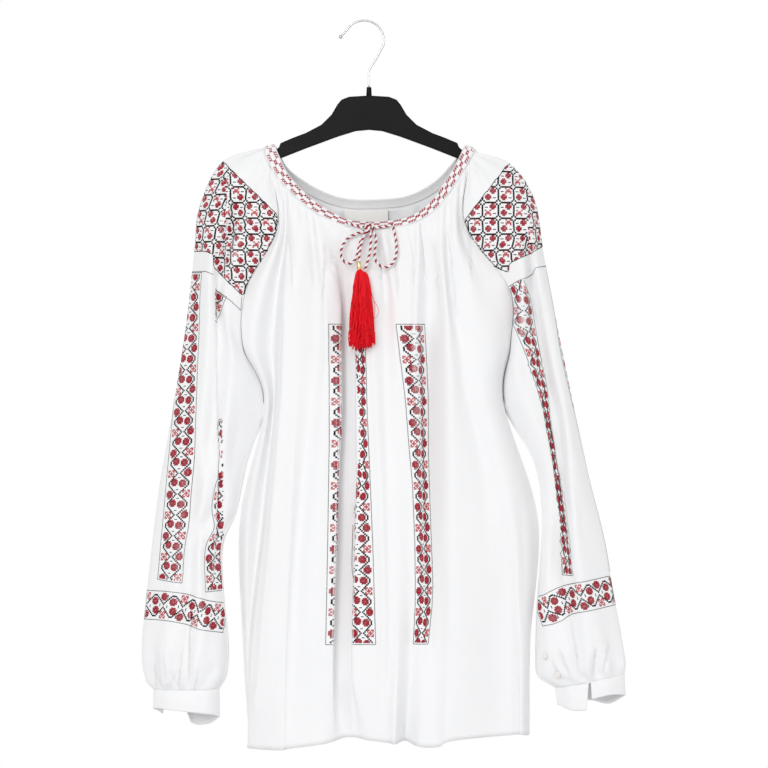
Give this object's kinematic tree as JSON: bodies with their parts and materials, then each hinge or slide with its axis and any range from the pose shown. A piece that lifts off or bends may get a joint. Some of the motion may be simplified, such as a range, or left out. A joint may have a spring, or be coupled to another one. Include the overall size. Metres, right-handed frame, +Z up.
{
  "type": "romanian ie blouse on a hanger",
  "caption": "Gathered white folk blouse with raglan sleeves, drawn neckband and tasselled tie, hanging open on a flat hanger with a wire hook.",
  "frame": {"origin": "underside of the hook where it hangs on a rail", "axes": "+X to the right seen from the front, -Y to the front, +Z up"},
  "size_m": [0.5817, 0.1078, 0.8716],
  "materials": {
    "cotton": "soft white woven cotton with cross-stitch",
    "ribbon": "cream woven ribbon",
    "cord": "twisted white and dark red cord",
    "silk": "bright red silky thread",
    "bead_brass": "polished gilt",
    "pearl": "pearl",
    "hanger_plastic": "satin black",
    "hook_chrome": "polished"
  },
  "bodies": {
    "root": {"hanger_bar": "hanger_plastic", "hook_collar": "hanger_plastic", "hanger_hook": "hook_chrome", "front_body": "cotton", "back_body": "cotton", "sleeve_left": "cotton", "sleeve_right": "cotton", "neckband": "cotton", "cuff_left": "cotton", "cuff_right": "cotton", "neck_label": "ribbon", "cord_knot": "cord", "cord_run_left": "cord", "cord_run_right": "cord", "bow_loop_left": "cord", "bow_loop_right": "cord", "cord_tail_left": "cord", "cord_tail_right": "cord", "tassel_bead": "bead_brass", "tassel_left": "silk", "tassel_right": "silk", "button_left_1": "pearl", "button_left_2": "pearl", "button_right_1": "pearl", "button_right_2": "pearl"}
  },
  "joints": []
}
